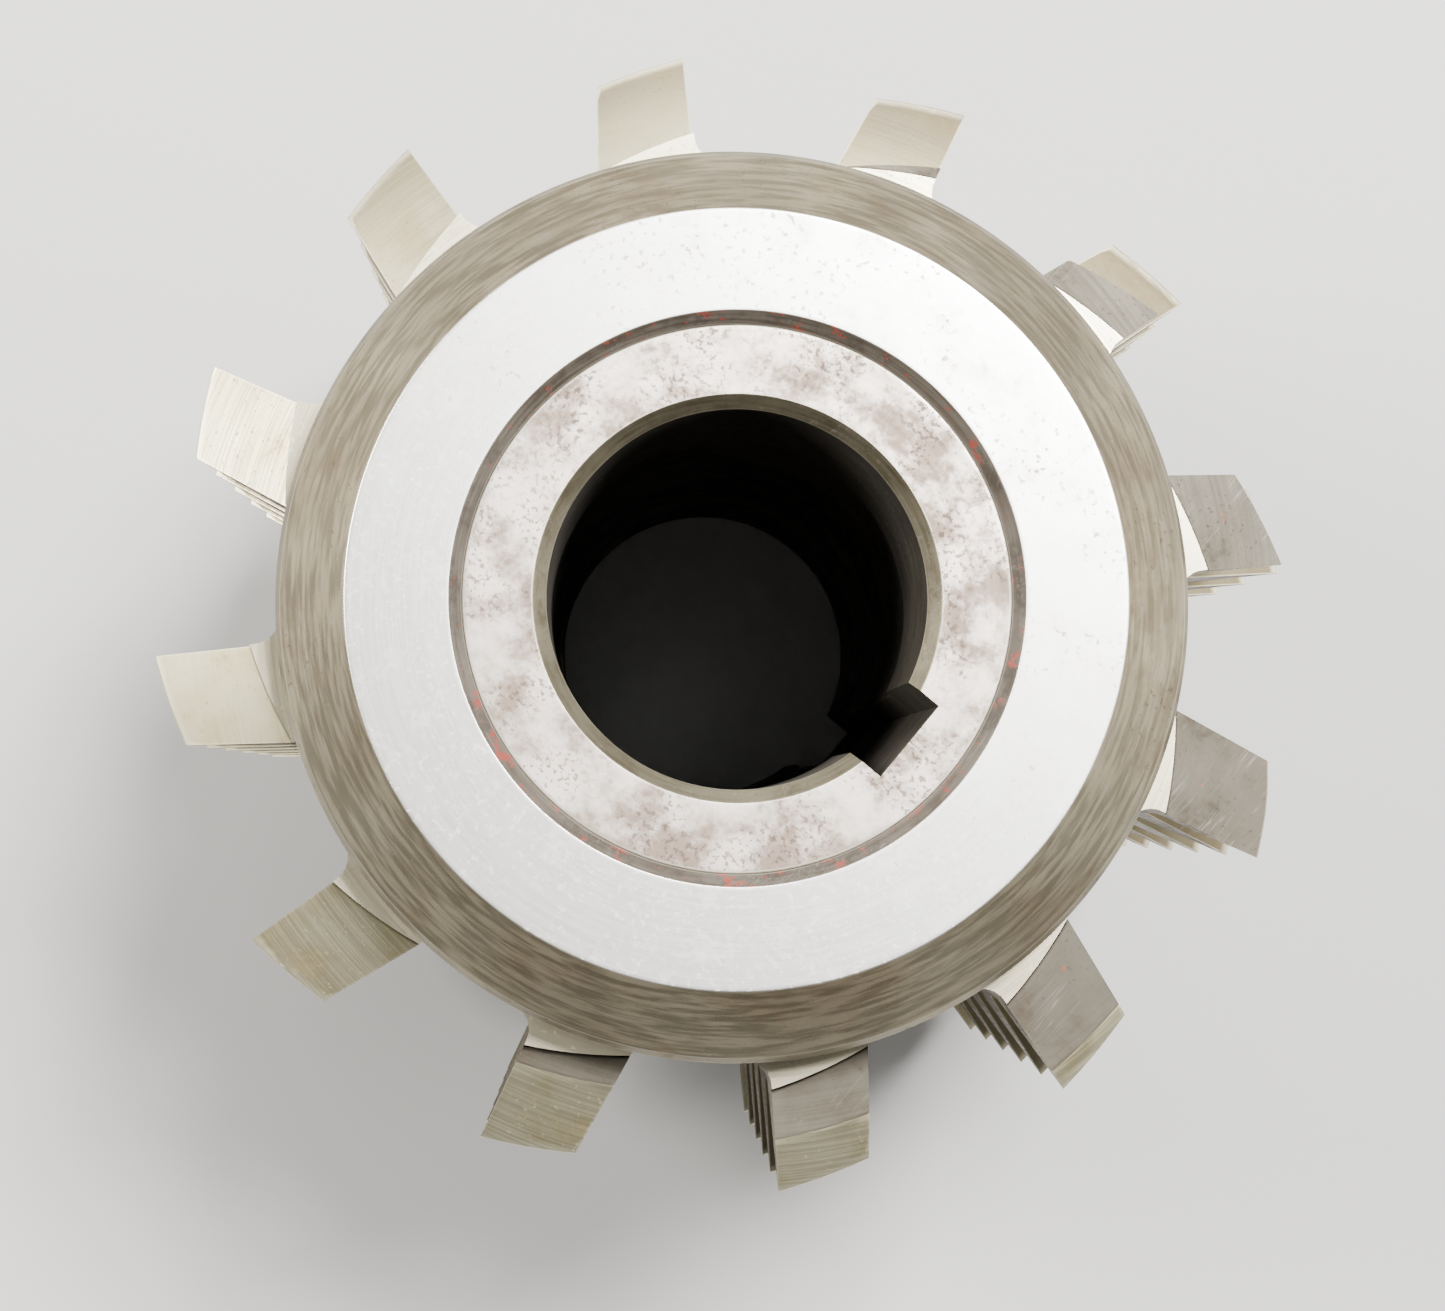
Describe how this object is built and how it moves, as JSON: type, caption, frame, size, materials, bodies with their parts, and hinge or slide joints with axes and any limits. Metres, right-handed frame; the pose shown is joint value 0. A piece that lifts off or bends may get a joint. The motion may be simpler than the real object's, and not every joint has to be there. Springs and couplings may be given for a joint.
{
  "type": "gear hob",
  "caption": "Gear hob with inserted rack blades on a right-hand thread, a keyed central bore and shrunk-on end rings.",
  "frame": {"origin": "centre of the rear end ring's ground face, on the bore axis", "axes": "+Z along the bore axis towards the front end ring; +X through the middle of the keyway"},
  "size_m": [0.155, 0.155, 0.14],
  "materials": {
    "body_steel": "turned and blackened by oil",
    "ring_steel": "ground face and dull turned cone",
    "blade_steel": "form-ground, lightly stained"
  },
  "bodies": {
    "root": {"hob_body": "body_steel", "front_end_ring": "ring_steel", "rear_end_ring": "ring_steel", "blade_01": "blade_steel", "blade_02": "blade_steel", "blade_03": "blade_steel", "blade_04": "blade_steel", "blade_05": "blade_steel", "blade_06": "blade_steel", "blade_07": "blade_steel", "blade_08": "blade_steel", "blade_09": "blade_steel", "blade_10": "blade_steel", "blade_11": "blade_steel", "blade_12": "blade_steel"}
  },
  "joints": []
}
